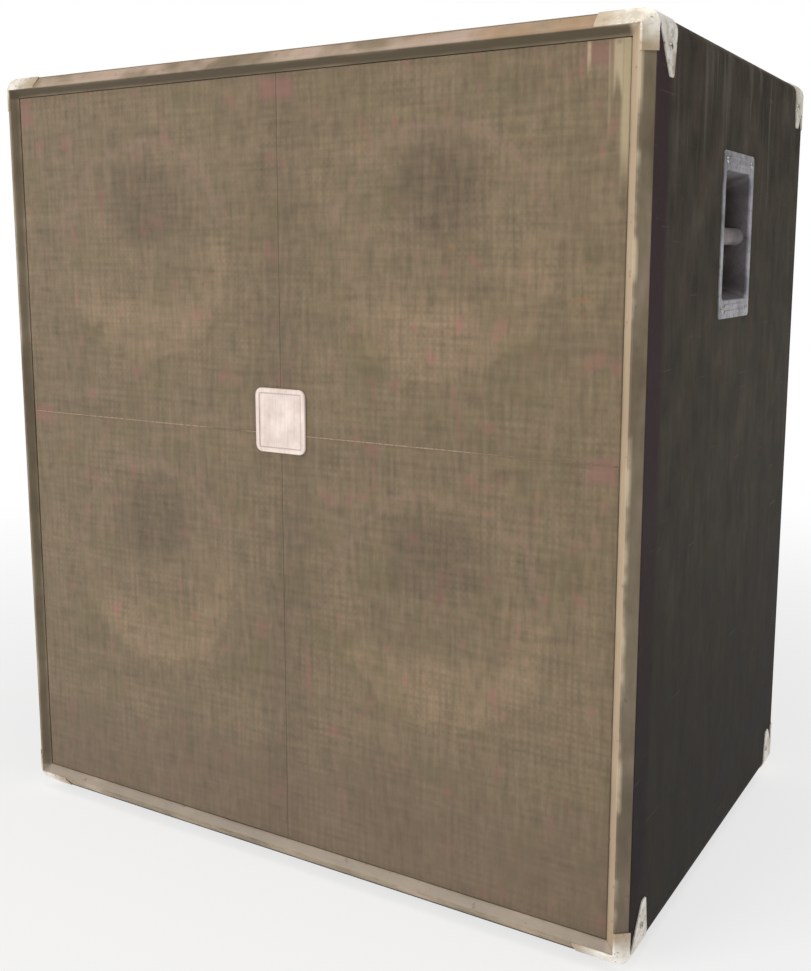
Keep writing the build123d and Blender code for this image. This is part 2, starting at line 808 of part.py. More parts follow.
def make_bolts():
    with BuildPart() as bolt:
        with BuildSketch(Plane.XZ):
            Circle(BOLT_HEAD_RADIUS)
        extrude(amount=BOLT_HEAD)
        chamfer(bolt.edges().sort_by(Axis.Y)[0], 0.6)
        with BuildSketch(Plane.XZ):
            Circle(BOLT_RADIUS)
        extrude(amount=-BOLT_LENGTH)
        with BuildSketch(Plane.XZ.offset(BOLT_HEAD)):
            RegularPolygon(BOLT_RADIUS - 0.2, 6)
        extrude(amount=-BOLT_HEAD / 2, mode=Mode.SUBTRACT)
    bolts = [bolt.part.moved(spot * place) for spot in spots() for place in bolt_locations()]
    save(group(bolts), "woofer_bolts")

    nut = turned(
        [
            (BOLT_RADIUS, BAFFLE_DEPTH - 14),
            (TEE_NUT_RADIUS, BAFFLE_DEPTH - 14),
            (TEE_NUT_RADIUS, BAFFLE_DEPTH),
            (9, BAFFLE_DEPTH),
            (9, BAFFLE_DEPTH + 1.5),
            (BOLT_RADIUS, BAFFLE_DEPTH + 1.5),
        ]
    )
    nuts = [nut.moved(spot * place) for spot in spots() for place in bolt_locations()]
    save(group(nuts), "tee_nuts")


def make_terminals():
    """A terminal block on the inner side of each basket's rear rim."""
    with BuildPart() as block:
        add(slab((-LUG_REACH, 94, -12), (2 - REAR_RADIUS, LUG_DEPTH, 12)))
        add(washer(50, REAR_RADIUS, 90, PLATE_FRONT), mode=Mode.SUBTRACT)
    facing = [block.part if x > 0 else mirror(block.part, about=Plane.YZ) for x, z in WOOFERS.values()]
    save(group([part.moved(spot) for part, spot in zip(facing, spots())]), "woofer_terminals")


def cone_face(radius):
    """Depth of the cone's front at a radius."""
    return CONE_LIP + (CONE_FLARE - radius) * (CONE_NECK - CONE_LIP) / (CONE_FLARE - COIL_OUTER)


def dome(apex, rim):
    """Half of a round cap's outline: an arc from the axis at depth apex to the point rim."""
    radius, rise = rim[0], rim[1] - apex
    ball = (radius**2 + rise**2) / (2 * rise)
    middle = (radius / 2, apex + ball - sqrt(ball**2 - radius**2 / 4))
    return ThreePointArc((0, apex), middle, rim)


def dust_cap():
    rim_front, rim_back = (58, cone_face(58)), (56, cone_face(56))
    with BuildPart(mode=Mode.PRIVATE) as cap:
        with BuildSketch(Plane.XY):
            with BuildLine():
                dome(44, rim_front)
                Line(rim_front, rim_back)
                dome(45.2, rim_back)
                Line((0, 45.2), (0, 44))
            make_face()
        revolve(axis=Axis.Y)
    return cap.part


def surround():
    """The half-roll rubber edge between the cone and the basket."""
    with BuildPart(mode=Mode.PRIVATE) as roll:
        with BuildSketch(Plane.XY):
            with BuildLine():
                Polyline((153, 3), (147, 3), (147, CONE_LIP), (153, CONE_LIP))
                ThreePointArc((153, CONE_LIP), (162.5, -6), (172, 3))
                Polyline((172, 3), (182, 3), (182, 2), (172, 2))
                ThreePointArc((172, 2), (162.5, -7), (153, 3))
            make_face()
        revolve(axis=Axis.Y)
    return roll.part


def spider():
    """The corrugated cloth disc that centres the voice coil."""
    folds = 8
    step = 4.5
    front = [(COIL_OUTER, 85)] + [(54 + step * n, 85 + (1.5 if n % 2 else -1.5)) for n in range(folds)]
    front += [(90, 85), (102, 85)]
    back = [(radius, depth + 1) for radius, depth in reversed(front)]
    return turned(front + back)


def make_moving_parts():
    thick = 1.92
    cone = turned(
        [
            (CONE_OUTER, CONE_LIP),
            (CONE_FLARE, CONE_LIP),
            (COIL_OUTER, CONE_NECK),
            (COIL_OUTER, CONE_NECK + thick),
            (CONE_FLARE, CONE_LIP + thick),
            (CONE_OUTER, CONE_LIP + thick),
        ]
    )
    coil = turned(
        [
            (COIL_INNER, 66),
            (COIL_OUTER, 66),
            (COIL_OUTER, 104),
            (WINDING_OUTER, 104),
            (WINDING_OUTER, 126),
            (COIL_INNER, 126),
        ]
    )
    pieces = {
        "cone": cone,
        "dust_cap": dust_cap(),
        "voice_coil": coil,
        "surround": surround(),
        "spider": spider(),
    }
    for place, spot in zip(WOOFERS, spots()):
        for kind, piece in pieces.items():
            save(piece.moved(spot), f"{place}_{kind}")


# ---------------------------------------------------------------- grille
def make_grille():
    middle_y = (FRAME_FRONT + FRAME_BACK) / 2
    thick = FRAME_BACK - FRAME_FRONT
    with BuildPart() as frame:
        add(prism(FRAME_INSET, FRAME_FRONT, FRAME_BACK))
        add(prism(FRAME_INSET + RAIL, FRAME_FRONT, FRAME_BACK), mode=Mode.SUBTRACT)
        with Locations((0, middle_y, MID_Z)):
            Box(CROSS_RAIL, thick, HEIGHT - 2 * FRAME_INSET - RAIL)
        with Locations((0, middle_y, CROSS_Z)):
            Box(WIDTH - 2 * FRAME_INSET - RAIL, thick, CROSS_RAIL)
    save(frame.part, "grille_frame")

    behind = FRAME_BACK + CLOTH
    with BuildPart() as cloth:
        add(prism(CLOTH_INSET, CLOTH_FRONT, behind))
        add(prism(FRAME_INSET, FRAME_FRONT, FRAME_BACK), mode=Mode.SUBTRACT)
        add(prism(FRAME_INSET + HEM, FRAME_BACK - 1, behind), mode=Mode.SUBTRACT)
        with Locations((0, FRONT, MID_Z)):
            Box(SEAM, DEPTH, 2 * HEIGHT, mode=Mode.SUBTRACT)
        with Locations((0, FRONT, CROSS_Z)):
            Box(2 * WIDTH, DEPTH, SEAM, mode=Mode.SUBTRACT)
    save(cloth.part, "grille_cloth")

    with BuildPart() as badge:
        with BuildSketch(at_depth(CLOTH_FRONT)):
            with Locations((0, BADGE_Z)):
                RectangleRounded(BADGE_WIDTH, BADGE_HEIGHT, 10)
        extrude(amount=BADGE_THICK)
        front = badge.faces().sort_by(Axis.Y)[0]
        chamfer(front.edges(), 0.8)
        with BuildSketch(at_depth(CLOTH_FRONT - BADGE_THICK)):
            with Locations((0, BADGE_Z)):
                RectangleRounded(BADGE_WIDTH - 12, BADGE_HEIGHT - 12, 6)
        extrude(amount=-0.6, mode=Mode.SUBTRACT)
    save(badge.part, "badge")


def make_catches():
    places = [(x, z) for x in (-CATCH_X, CATCH_X) for z in CATCH_HEIGHTS]
    tip = BAFFLE_FRONT - 2
    with BuildPart() as stud:
        with BuildSketch(at_depth(FRAME_BACK)):
            Circle(STUD_RADIUS)
        extrude(amount=FRAME_BACK - tip)
        fillet(stud.edges().sort_by(Axis.Y)[-1], 1.5)
    save(group([stud.part.moved(Location((x, 0, z))) for x, z in places]), "grille_studs")

    with BuildPart() as socket:
        with BuildSketch(at_depth(BAFFLE_FRONT)):
            Circle(SOCKET_RADIUS)
            Circle(SOCKET_BORE, mode=Mode.SUBTRACT)
        extrude(amount=SOCKET_HEIGHT)
    save(group([socket.part.moved(Location((x, 0, z))) for x, z in places]), "grille_sockets")


def main():
    os.makedirs("parts", exist_ok=True)
    make_panels()
    make_covering()
    make_trim()
    make_baffle()
    make_port()
    make_braces()
    make_cleats()
    make_back_panel()
    make_damping()
    make_handles()
    make_corners()
    make_feet()
    make_input()
    make_leads()
    make_baskets()
    make_magnets()
    make_bolts()
    make_terminals()
    make_moving_parts()
    make_grille()
    make_catches()
    make_wood_screws()


main()
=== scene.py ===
"""Looks for the PA speaker cabinet: materials, grille cloth, woofer edges, spiders and wadding, light and
camera.
"""

import json
import math

import bpy
import numpy as np
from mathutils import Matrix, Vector, noise


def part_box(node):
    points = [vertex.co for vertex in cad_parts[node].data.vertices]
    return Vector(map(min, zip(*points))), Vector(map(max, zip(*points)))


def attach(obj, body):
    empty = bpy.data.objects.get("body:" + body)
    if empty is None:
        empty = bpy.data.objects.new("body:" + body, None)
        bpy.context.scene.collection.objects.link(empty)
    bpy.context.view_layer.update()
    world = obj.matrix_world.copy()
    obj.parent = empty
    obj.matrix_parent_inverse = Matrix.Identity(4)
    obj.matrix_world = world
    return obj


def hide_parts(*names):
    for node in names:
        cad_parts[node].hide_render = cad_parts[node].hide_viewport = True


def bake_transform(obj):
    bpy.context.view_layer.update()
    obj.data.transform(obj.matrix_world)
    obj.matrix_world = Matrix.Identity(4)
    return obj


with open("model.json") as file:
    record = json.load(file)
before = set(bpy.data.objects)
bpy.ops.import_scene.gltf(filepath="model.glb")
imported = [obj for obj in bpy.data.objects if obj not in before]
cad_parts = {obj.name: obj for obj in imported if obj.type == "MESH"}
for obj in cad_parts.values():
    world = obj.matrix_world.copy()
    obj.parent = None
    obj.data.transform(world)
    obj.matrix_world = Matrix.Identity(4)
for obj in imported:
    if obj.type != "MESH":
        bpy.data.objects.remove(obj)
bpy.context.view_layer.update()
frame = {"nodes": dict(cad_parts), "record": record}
NODES = frame["nodes"]
MM = 0.001

cover_low, cover_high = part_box("vinyl_covering")
cloth_low, cloth_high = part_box("grille_cloth")
badge_low, badge_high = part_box("badge")
pads_low, pads_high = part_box("damping_pads")

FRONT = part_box("trim_top")[0].y  # the ridge of the front trim
SIDE = cover_high.x
BASE, TOP = cover_low.z, cover_high.z
MIDDLE_Z = (BASE + TOP) / 2
HALF_HEIGHT = (TOP - BASE) / 2
CLOTH_Y = cloth_low.y
CLOTH_DEPTH = cloth_high.y - CLOTH_Y
WOOFERS = ("upper_left", "upper_right", "lower_left", "lower_right")


def middle(node):
    low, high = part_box(node)
    return (low + high) / 2


CENTRES = {name: middle(f"{name}_cone") for name in WOOFERS}
WOOFER_X = CENTRES["upper_right"].x
UPPER_Z = CENTRES["upper_right"].z
LOWER_Z = CENTRES["lower_right"].z
BETWEEN_ROWS_Z = (UPPER_Z + LOWER_Z) / 2
SEAM_Z = BETWEEN_ROWS_Z - 13.5 * MM  # the level seam in the cloth


# ---------------------------------------------------------------- material helpers
def srgb(r, g, b):
    """A colour given as 0 to 255 screen values."""
    def linear(v):
        v /= 255
        return v / 12.92 if v <= 0.04045 else ((v + 0.055) / 1.055) ** 2.4

    return (linear(r), linear(g), linear(b), 1.0)


class Surface:
    """A material built from nodes, in the object's own coordinates."""

    def __init__(self, name, roughness=0.6, metallic=0.0, **constants):
        self.material = bpy.data.materials.new(name)
        self.material.use_nodes = True
        self.tree = self.material.node_tree
        self.shader = self.tree.nodes["Principled BSDF"]
        self.shader.inputs["Roughness"].default_value = roughness
        self.shader.inputs["Metallic"].default_value = metallic
        for key, value in constants.items():
            self.shader.inputs[key.replace("_", " ")].default_value = value
        self.place = self.tree.nodes.new("ShaderNodeTexCoord").outputs["Object"]
        self.axes = self.new("ShaderNodeSeparateXYZ", Vector=self.place).outputs

    def new(self, kind, **inputs):
        node = self.tree.nodes.new(kind)
        for key, value in inputs.items():
            self.put(node.inputs[key], value)
        return node

    def put(self, socket, value):
        if isinstance(value, bpy.types.NodeSocket):
            self.tree.links.new(value, socket)
        else:
            socket.default_value = value

    def stretched(self, x, y, z, turn=0.0):
        node = self.new("ShaderNodeMapping", Vector=self.place)
        node.inputs["Scale"].default_value = (x, y, z)
        node.inputs["Rotation"].default_value = (0, turn, 0)
        return node.outputs[0]

    def noise(self, scale, detail=3.0, roughness=0.55, at=None, distortion=0.0):
        node = self.new("ShaderNodeTexNoise", Vector=at or self.place)
        node.inputs["Scale"].default_value = scale
        node.inputs["Detail"].default_value = detail
        node.inputs["Roughness"].default_value = roughness
        node.inputs["Distortion"].default_value = distortion
        return node.outputs["Fac"]

    def threads(self, detail, roughness, *stretch):
        """Noise drawn out by its own scale along each axis."""
        return self.noise(1.0, detail, roughness, self.stretched(*stretch))

    def cells(self, scale):
        node = self.new("ShaderNodeTexVoronoi", Vector=self.place)
        node.inputs["Scale"].default_value = scale
        return node.outputs["Distance"]

    def math(self, operation, a, b=0.0, c=0.0, clamp=False):
        node = self.tree.nodes.new("ShaderNodeMath")
        node.operation = operation
        node.use_clamp = clamp
        for socket, value in zip(node.inputs, (a, b, c)):
            self.put(socket, value)
        return node.outputs[0]

    def plus(self, first, *others, clamp=False):
        for other in others:
            first = self.math("ADD", first, other, clamp=clamp)
        return first

    def times(self, first, *others, clamp=False):
        for other in others:
            first = self.math("MULTIPLY", first, other, clamp=clamp)
        return first

    def minus(self, a, b):
        return self.math("SUBTRACT", a, b)

    def unsigned(self, value):
        return self.math("ABSOLUTE", value)

    def larger(self, a, b):
        return self.math("MAXIMUM", a, b)

    def square(self, value):
        return self.math("POWER", value, 2.0)

    def length(self, a, b):
        return self.math("SQRT", self.plus(self.square(a), self.square(b)))

    def scaled(self, value, factor, offset):
        return self.math("MULTIPLY_ADD", value, factor, offset)

    def wave(self, axis, pitch):
        return self.math("SINE", self.times(axis, math.tau / pitch))

    def beyond(self, axis, centre, half):
        """How far a place lies outside a band of this half width; negative inside it."""
        return self.minus(self.unsigned(self.minus(axis, centre)), half)

    def smooth(self, value, low, high, to_low=0.0, to_high=1.0):
        """Goes smoothly from to_low to to_high as value goes from low to high."""
        node = self.tree.nodes.new("ShaderNodeMapRange")
        node.interpolation_type = "SMOOTHSTEP"
        for socket, item in zip(node.inputs, (value, low, high, to_low, to_high)):
            self.put(socket, item)
        return node.outputs[0]

    def mix(self, share, a, b, mode="MIX"):
        node = self.tree.nodes.new("ShaderNodeMix")
        node.data_type = "RGBA"
        node.blend_type = mode
        sockets = [s for s in node.inputs if s.type == "RGBA"]
        self.put(node.inputs[0], share)
        self.put(sockets[0], a)
        self.put(sockets[1], b)
        return [s for s in node.outputs if s.type == "RGBA"][0]

    def ramp(self, value, *stops):
        node = self.new("ShaderNodeValToRGB", Fac=value)
        band = node.color_ramp
        while len(band.elements) < len(stops):
            band.elements.new(0.5)
        for element, (place, colour) in zip(band.elements, stops):
            element.position = place
            element.color = colour
        return node.outputs["Color"]

    def bump(self, height, distance, strength):
        node = self.new("ShaderNodeBump", Height=height)
        node.inputs["Distance"].default_value = distance
        node.inputs["Strength"].default_value = strength
        return node.outputs[0]

    def finish(self, colour, normal, roughness=None):
        self.put(self.shader.inputs["Base Color"], colour)
        self.put(self.shader.inputs["Normal"], normal)
        if roughness is not None:
            self.put(self.shader.inputs["Roughness"], roughness)
        return self.material


# ---------------------------------------------------------------- grille cloth's material
CONE_REACH = 147 * MM
CAP_PATCH_UP = 70 * MM
CAP_PATCH_HALF = (62 * MM, 55 * MM)
SPOT_EDGE = 8 * MM
CHECK_PITCH = 9.2 * MM
WEAVE_PITCH = 2.1 * MM
# tints of painted light and painted shade, for the woofers seen through the cloth
PAINTED_LIGHT_TINT = (1.25, 1.21, 1.23, 1)
PAINTED_SHADE_TINT = (0.79, 0.77, 0.79, 1)
# pink marks on the cloth: x, z, half width, half height, in metres
PINK_MARKS = [
    (0.0, 1.034, 0.026, 0.013),
    (-0.440, 0.596, 0.016, 0.011),
    (0.442, 0.592, 0.018, 0.013),
    (-0.450, 1.030, 0.014, 0.018),
    (0.428, 1.037, 0.018, 0.012),
]


def from_woofer(s):
    """How far a place lies across, up and straight out from the centre of its own woofer."""
    x, _, z = s.axes
    across = s.minus(s.unsigned(x), WOOFER_X)
    upper = s.math("GREATER_THAN", z, BETWEEN_ROWS_Z - 10 * MM)
    up = s.minus(s.minus(z, LOWER_Z), s.times(upper, UPPER_Z - LOWER_Z))
    return across, up, s.length(across, up)


def painted_show_through(s):
    """Painted light, painted shade and a pinkish tint on the cloth in front of the woofers, for the woofers
    seen through it.
    """
    x = s.axes[0]
    across, up, reach = from_woofer(s)
    ragged = s.scaled(s.noise(30.0, 4, 0.6), 0.06, -0.03)
    reach = s.plus(reach, ragged)
    # painted light: the lower half of the cone and both sides of it, the right one more
    disc = s.smooth(reach, CONE_REACH - 9 * MM, CONE_REACH + 7 * MM, 1.0, 0.0)
    low_half = s.smooth(s.plus(up, ragged), -0.085, -0.030, 1.0, 0.0)
    towards_right = s.times(across, s.math("SIGN", x))
    to_side = s.smooth(towards_right, -0.02, 0.09, 0.35, 0.9)
    sides = s.times(s.smooth(reach, 0.085, 0.115), to_side)
    low_side = s.times(sides, s.smooth(up, 0.0, 0.035, 1.0, 0.0))
    light = s.times(disc, s.larger(low_half, low_side))
    # painted shade over the dust cap, and a darker column between the woofers
    patch_x = s.square(s.math("DIVIDE", across, CAP_PATCH_HALF[0]))
    patch_z = s.square(s.math("DIVIDE", s.minus(up, CAP_PATCH_UP), CAP_PATCH_HALF[1]))
    far = s.plus(patch_x, patch_z, s.times(ragged, 16.0))
    between = s.smooth(s.unsigned(s.plus(x, ragged)), 0.015, 0.06, 0.45, 0.0)
    dark = s.larger(s.smooth(far, 0.1, 2.0, 1.0, 0.0), between)
    # pinkish: the upper half of the cone's rim
    ring = s.unsigned(s.minus(reach, CONE_REACH))
    arc = s.times(s.smooth(ring, 0.0, 0.011, 1.0, 0.0), s.smooth(up, 0.0, 0.05))
    return light, dark, arc


def spot(s, x0, z0, half_x, half_z):
    """A soft-edged mark on the cloth."""
    x, _, z = s.axes
    wobble = s.scaled(s.noise(60.0, 2), 0.02, -0.01)
    outside = s.larger(s.beyond(x, x0, half_x), s.beyond(z, z0, half_z))
    return s.smooth(s.plus(outside, wobble), -SPOT_EDGE, SPOT_EDGE, 1.0, 0.0)


def pale_wear_and_highlight(s):
    """Pale runs down the top right corner of the cloth, wear with a painted highlight, and a pale strip
    beside the trim.
    """
    x, _, z = s.axes
    runs = s.smooth(s.threads(1, 0.5, 90, 0, 1.5), 0.50, 0.62)
    lowest = s.scaled(s.threads(0, 0.5, 52, 0, 0), -0.26, 1.122)
    below = s.smooth(s.minus(z, lowest), -0.014, 0.014)
    worn_highlight_streak = s.times(runs, below, s.smooth(x, 0.385, 0.415))
    worn_highlight_streak = s.times(worn_highlight_streak, s.smooth(s.noise(34.0, 3, 0.6), 0.36, 0.52, 0.3, 0.7))
    beside = s.times(s.smooth(x, 0.449, 0.455), s.smooth(z, 0.89, 0.95, 0.0, 0.65))
    return s.larger(worn_highlight_streak, beside)


def grille_cloth():
    s = Surface("tweed_cloth", roughness=0.92, Sheen_Weight=0.15, Sheen_Roughness=0.6)
    x, _, z = s.axes
    warp = s.threads(2, 0.55, 150, 0, 20)
    weft = s.threads(2, 0.55, 20, 0, 150)
    blocks = s.threads(2, 0.55, 70, 0, 70)
    fine = s.threads(1, 0.5, 420, 0, 90)
    columns = s.scaled(s.wave(x, CHECK_PITCH), 0.5, 0.5)
    rows = s.scaled(s.wave(z, CHECK_PITCH), 0.5, 0.5)
    region = s.noise(9.0, 3, 0.6)
    checks = s.times(s.math("MINIMUM", columns, rows), s.smooth(region, 0.42, 0.6))
    wide_warp = s.threads(2, 0.5, 38, 0, 4)
    wide_weft = s.threads(2, 0.5, 4, 0, 38)
    slubs = s.plus(s.times(warp, 0.32), s.times(weft, 0.22))
    plaid = s.plus(s.times(wide_warp, 0.14), s.times(wide_weft, 0.14))
    yarn = s.plus(slubs, plaid, s.times(blocks, 0.18), s.times(checks, 0.07))
    yarn = s.plus(yarn, s.scaled(fine, 0.10, -0.05))
    colour = s.ramp(
        yarn,
        (0.35, srgb(96, 83, 62)),
        (0.47, srgb(114, 99, 76)),
        (0.55, srgb(125, 108, 84)),
        (0.67, srgb(138, 119, 95)),
    )
    # dyed flecks: pink, rust and olive threads
    pink = s.smooth(s.threads(2, 0.5, 40, 40, 26), 0.60, 0.72)
    colour = s.mix(s.times(pink, 0.5), colour, srgb(142, 100, 88))
    rust = s.smooth(s.threads(2, 0.5, 37, 37, 52), 0.68, 0.78)
    colour = s.mix(s.times(rust, 0.4), colour, srgb(148, 104, 70))
    olive = s.smooth(s.noise(13.0, 4, 0.6), 0.48, 0.70)
    colour = s.mix(s.times(olive, 0.35), colour, srgb(102, 94, 62))
    # the woofers seen through the cloth: painted light on the lower halves of their cones, painted shade
    # over their caps, and a pinkish rim
    light, dark, arc = painted_show_through(s)
    colour = s.mix(light, colour, PAINTED_LIGHT_TINT, "MULTIPLY")
    colour = s.mix(dark, colour, PAINTED_SHADE_TINT, "MULTIPLY")
    colour = s.mix(s.times(arc, 0.22), colour, srgb(152, 120, 108))
    # painted shade for the ports behind the foot of the cloth, darker towards the bottom
    foot = s.smooth(s.plus(z, s.times(region, 0.12)), 0.17, 0.28, 1.0, 0.0)
    colour = s.mix(s.times(foot, 0.40), colour, srgb(104, 84, 70))
    for mark in PINK_MARKS:
        colour = s.mix(s.times(spot(s, *mark), 0.6), colour, srgb(142, 102, 92))
    # pale runs at the top right corner, wear with a painted highlight, and the pale strip beside the trim
    colour = s.mix(pale_wear_and_highlight(s), colour, srgb(190, 174, 140))
    weave = s.scaled(s.times(s.wave(x, WEAVE_PITCH), s.wave(z, WEAVE_PITCH)), 0.25, 0.5)
    height = s.plus(s.times(yarn, 1.2), s.times(weave, 0.35))
    return s.finish(colour, s.bump(height, 1.1 * MM, 0.5))


# ---------------------------------------------------------------- the box's materials
RIDGE_IN = 15.6 * MM  # from the box's sides to the ridge of the trim
TRIM_PART = (22 * MM, 30 * MM)  # a moulding ends between these distances from the box's side
COVER_EDGE_IN = 10 * MM  # the covering is rubbed from here outwards


def trim_enamel():
    s = Surface("tan_enamel", roughness=0.55, Coat_Weight=0.08, Coat_Roughness=0.4)
    x, y, z = s.axes
    patches = s.noise(7.0, 4, 0.6, distortion=0.5)
    streaks = s.threads(3, 0.6, 22, 120, 22)
    colour = s.ramp(
        s.plus(s.times(patches, 0.7), s.times(streaks, 0.3)),
        (0.36, srgb(100, 84, 60)),
        (0.46, srgb(132, 115, 90)),
        (0.55, srgb(156, 138, 112)),
        (0.67, srgb(188, 166, 146)),
    )
    out_x = s.beyond(x, 0.0, SIDE - RIDGE_IN)
    out_z = s.beyond(z, MIDDLE_Z, HALF_HEIGHT - RIDGE_IN)
    inside = s.smooth(s.larger(out_x, out_z), -1.2 * MM, 0.6 * MM, 1.0, 0.0)
    outside = s.minus(1.0, inside)
    near, far = TRIM_PART
    at_top = s.smooth(s.minus(z, TOP), -far, -near)
    at_left = s.smooth(x, near - SIDE, far - SIDE, 1.0, 0.0)
    at_right = s.smooth(x, SIDE - far, SIDE - near)
    at_foot = s.smooth(s.minus(z, BASE), near, far, 1.0, 0.0)
    # slopes that face the cloth: painted shade with a little grime, heaviest at the top and the left;
    # painted light, paler, on the right and at the foot
    painted_shade_and_grime = s.plus(s.times(at_top, 0.85), s.times(at_left, 0.62), clamp=True)
    painted_shade_and_grime = s.plus(painted_shade_and_grime, s.scaled(s.noise(26.0, 3), 0.3, 0.05), clamp=True)
    colour = s.mix(s.times(inside, painted_shade_and_grime), colour, srgb(78, 66, 44))
    # painted light on the right and the foot slopes
    colour = s.mix(s.times(inside, at_right, 0.72), colour, srgb(194, 170, 142))
    colour = s.mix(s.times(inside, at_foot, 0.6), colour, srgb(162, 149, 136))
    # outer slopes: shaded brown on the right, pinkish cream and dark patches on top
    colour = s.mix(s.times(outside, at_right, 0.62), colour, srgb(92, 80, 62))
    outer_top = s.times(outside, at_top)
    colour = s.mix(s.times(outer_top, 0.50), colour, srgb(104, 90, 72))
    cream = s.smooth(s.threads(3, 0.6, 9, 9, 9), 0.44, 0.62)
    colour = s.mix(s.times(outer_top, cream, 0.6), colour, srgb(190, 164, 148))
    tan_patch = s.smooth(s.noise(16.0, 3, 0.6), 0.40, 0.60)
    orange = s.times(outer_top, s.smooth(x, 0.10, 0.34), tan_patch)
    colour = s.mix(s.times(orange, 0.6), colour, srgb(160, 124, 84))
    # bare, rubbed ridge with a painted highlight, strongest on the right, and small chips
    rubbed = s.smooth(s.noise(14.0, 3, 0.6), 0.40, 0.62)
    on_ridge = s.smooth(s.minus(y, FRONT), 0.2 * MM, 3.0 * MM, 1.0, 0.0)
    rub_and_highlight = s.times(on_ridge, rubbed, s.scaled(at_right, 0.48, 0.12))
    colour = s.mix(rub_and_highlight, colour, srgb(206, 190, 160))
    chips = s.smooth(s.noise(95.0, 3, 0.6), 0.64, 0.70)
    colour = s.mix(s.times(chips, 0.4), colour, srgb(84, 66, 46))
    height = s.plus(s.noise(220.0, 2), s.times(s.noise(22.0, 3), 1.5))
    return s.finish(colour, s.bump(height, 0.5 * MM, 0.45), s.scaled(patches, 0.35, 0.36))


def vinyl():
    s = Surface("grained_covering", roughness=0.75, Specular_IOR_Level=0.06)
    x, y, z = s.axes
    streaks = s.threads(3, 0.6, 46, 46, 14)
    blotches = s.noise(12.0, 5, 0.6)
    colour = s.ramp(
        s.plus(s.times(streaks, 0.34), s.times(blotches, 0.66)),
        (0.36, srgb(50, 44, 36)),
        (0.48, srgb(64, 58, 49)),
        (0.56, srgb(73, 67, 57)),
        (0.70, srgb(88, 81, 70)),
    )
    brown = s.smooth(s.noise(30.0, 3, 0.6), 0.56, 0.70)
    colour = s.mix(s.times(brown, 0.4), colour, srgb(78, 60, 50))
    green = s.smooth(s.noise(20.0, 3, 0.6, s.stretched(1, 1, 1.4)), 0.54, 0.70)
    colour = s.mix(s.times(green, 0.35), colour, srgb(60, 62, 46))
    # pale runs from the top edge
    runs = s.smooth(s.threads(2, 0.5, 60, 60, 5), 0.56, 0.72)
    high = s.smooth(z, 0.80, 1.04)
    colour = s.mix(s.times(runs, high, 0.4), colour, srgb(112, 107, 98))
    # a purplish band behind the trim, painted shade darkening towards the foot, and a pale lip along the top
    behind = s.minus(y, FRONT)
    colour = s.mix(s.smooth(behind, 45 * MM, 68 * MM, 0.85, 0.0), colour, srgb(58, 42, 47))
    colour = s.mix(s.smooth(z, 0.05, 0.80, 0.6, 0.0), colour, srgb(26, 23, 20))
    near_top = s.smooth(s.minus(z, TOP), -10 * MM, -4 * MM)
    lip = s.times(near_top, s.smooth(behind, 30 * MM, 60 * MM, 0.8, 0.0))
    colour = s.mix(lip, colour, srgb(150, 130, 108))
    # rubbed edges of the box, and scuffs
    edge_x = s.beyond(x, 0.0, SIDE - COVER_EDGE_IN)
    edge_z = s.beyond(z, MIDDLE_Z, HALF_HEIGHT - COVER_EDGE_IN)
    edge = s.smooth(s.math("MINIMUM", edge_x, edge_z), 0.0, 7 * MM)
    worn = s.times(edge, s.smooth(s.noise(40.0, 4, 0.7), 0.40, 0.62))
    colour = s.mix(s.times(worn, 0.6), colour, srgb(132, 124, 110))
    scuffs = s.smooth(s.threads(2, 0.5, 9, 9, 240, 0.35), 0.70, 0.76)
    colour = s.mix(s.times(scuffs, 0.3), colour, srgb(112, 106, 98))
    height = s.plus(s.cells(620.0), s.times(streaks, 0.5))
    return s.finish(colour, s.bump(height, 0.6 * MM, 0.7), s.scaled(blotches, 0.35, 0.46))


def worn_steel(name, light, mid, dark, chip, metallic=0.15):
    """Painted pressed steel with dirt, scratches and chips."""
    s = Surface(name, roughness=0.4, metallic=metallic)
    cloud = s.noise(34.0, 4, 0.6)
    colour = s.ramp(cloud, (0.34, dark), (0.50, mid), (0.64, light))
    scratches = s.smooth(s.threads(2, 0.5, 60, 420, 500, 0.5), 0.64, 0.70)
    colour = s.mix(s.times(scratches, 0.4), colour, light)
    chips = s.smooth(s.noise(150.0, 3, 0.65), 0.62, 0.67)
    colour = s.mix(s.times(chips, 0.75), colour, chip)
    height = s.plus(s.noise(330.0, 2), s.times(chips, -0.8))
    return s, colour, s.bump(height, 0.3 * MM, 0.5), s.scaled(cloud, 0.45, 0.18)


def corner_steel():
    s, colour, normal, rough = worn_steel(
        "corner_steel", srgb(252, 248, 240), srgb(234, 227, 214), srgb(190, 179, 160), srgb(132, 110, 84)
    )
    rust = s.smooth(s.noise(55.0, 4, 0.7), 0.58, 0.70)
    colour = s.mix(s.times(rust, 0.45), colour, srgb(150, 112, 78))
    # the paint on the arms round the trim has yellowed, most at their ends
    x, y, z = s.axes
    facing = s.smooth(s.minus(y, FRONT), 10.5 * MM, 12.5 * MM, 1.0, 0.0)
    from_side = s.minus(SIDE, s.unsigned(x))
    from_end = s.minus(HALF_HEIGHT, s.unsigned(s.minus(z, MIDDLE_Z)))
    ends = s.larger(s.smooth(from_side, 30 * MM, 64 * MM), s.smooth(from_end, 14 * MM, 40 * MM))
    colour = s.mix(s.times(facing, s.times(ends, 0.85)), colour, srgb(172, 150, 120))
    return s.finish(colour, normal, rough)


